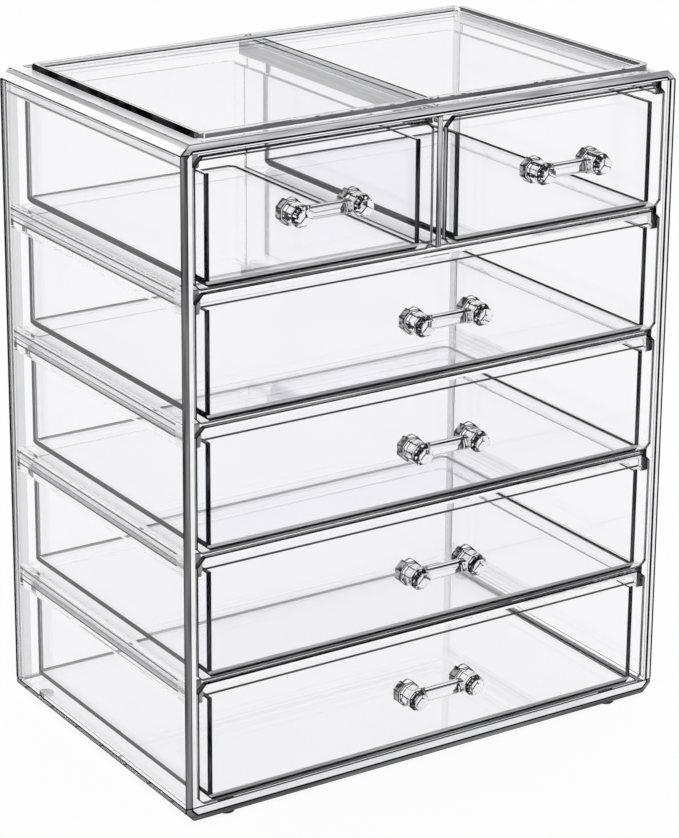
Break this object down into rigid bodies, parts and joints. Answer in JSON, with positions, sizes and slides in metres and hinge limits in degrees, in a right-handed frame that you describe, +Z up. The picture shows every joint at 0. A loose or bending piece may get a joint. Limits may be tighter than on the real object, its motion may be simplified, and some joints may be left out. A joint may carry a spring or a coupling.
{
  "type": "make-up organizer with drawers",
  "caption": "Clear acrylic make-up organizer: a tall case of sliding drawers with faceted bar pulls, a raised tray rim on its top and small feet underneath.",
  "frame": {"origin": "the middle of the bounding box's underside: under the feet, halfway from the pulls to the back panel", "axes": "+X to the right seen from the front, +Y from the drawer fronts to the back panel, +Z up"},
  "size_m": [0.232, 0.159, 0.279],
  "materials": {
    "case_acrylic": "clear polished cast acrylic, faintly lavender grey",
    "shelf_acrylic": "clear polished acrylic sheet",
    "drawer_acrylic": "clear polished acrylic",
    "pull_acrylic": "clear faceted acrylic, like cut crystal",
    "foot_rubber": "translucent grey rubber"
  },
  "bodies": {
    "cabinet": {"side_panel_left": "case_acrylic", "side_panel_right": "case_acrylic", "base_panel": "case_acrylic", "back_panel": "case_acrylic", "top_panel": "case_acrylic", "shelf_1": "shelf_acrylic", "shelf_2": "shelf_acrylic", "shelf_3": "shelf_acrylic", "shelf_4": "shelf_acrylic", "divider": "case_acrylic", "tray_rim": "case_acrylic", "foot_front_left": "foot_rubber", "foot_front_right": "foot_rubber", "foot_rear_left": "foot_rubber", "foot_rear_right": "foot_rubber"},
    "drawer_top_left": {"drawer_top_left_tray": "drawer_acrylic", "drawer_top_left_front": "drawer_acrylic", "drawer_top_left_pull_post_left": "pull_acrylic", "drawer_top_left_pull_post_right": "pull_acrylic", "drawer_top_left_pull_bar": "pull_acrylic"},
    "drawer_top_right": {"drawer_top_right_tray": "drawer_acrylic", "drawer_top_right_front": "drawer_acrylic", "drawer_top_right_pull_post_left": "pull_acrylic", "drawer_top_right_pull_post_right": "pull_acrylic", "drawer_top_right_pull_bar": "pull_acrylic"},
    "drawer_2": {"drawer_2_tray": "drawer_acrylic", "drawer_2_front": "drawer_acrylic", "drawer_2_pull_post_left": "pull_acrylic", "drawer_2_pull_post_right": "pull_acrylic", "drawer_2_pull_bar": "pull_acrylic"},
    "drawer_3": {"drawer_3_tray": "drawer_acrylic", "drawer_3_front": "drawer_acrylic", "drawer_3_pull_post_left": "pull_acrylic", "drawer_3_pull_post_right": "pull_acrylic", "drawer_3_pull_bar": "pull_acrylic"},
    "drawer_4": {"drawer_4_tray": "drawer_acrylic", "drawer_4_front": "drawer_acrylic", "drawer_4_pull_post_left": "pull_acrylic", "drawer_4_pull_post_right": "pull_acrylic", "drawer_4_pull_bar": "pull_acrylic"},
    "drawer_5": {"drawer_5_tray": "drawer_acrylic", "drawer_5_front": "drawer_acrylic", "drawer_5_pull_post_left": "pull_acrylic", "drawer_5_pull_post_right": "pull_acrylic", "drawer_5_pull_bar": "pull_acrylic"}
  },
  "joints": [
    {"name": "drawer_top_left_slide", "type": "slide", "parent": "cabinet", "child": "drawer_top_left", "axis": [0, -1, 0], "range_m": [0, 0.115]},
    {"name": "drawer_top_right_slide", "type": "slide", "parent": "cabinet", "child": "drawer_top_right", "axis": [0, -1, 0], "range_m": [0, 0.115]},
    {"name": "drawer_2_slide", "type": "slide", "parent": "cabinet", "child": "drawer_2", "axis": [0, -1, 0], "range_m": [0, 0.115]},
    {"name": "drawer_3_slide", "type": "slide", "parent": "cabinet", "child": "drawer_3", "axis": [0, -1, 0], "range_m": [0, 0.115]},
    {"name": "drawer_4_slide", "type": "slide", "parent": "cabinet", "child": "drawer_4", "axis": [0, -1, 0], "range_m": [0, 0.115]},
    {"name": "drawer_5_slide", "type": "slide", "parent": "cabinet", "child": "drawer_5", "axis": [0, -1, 0], "range_m": [0, 0.115]}
  ]
}
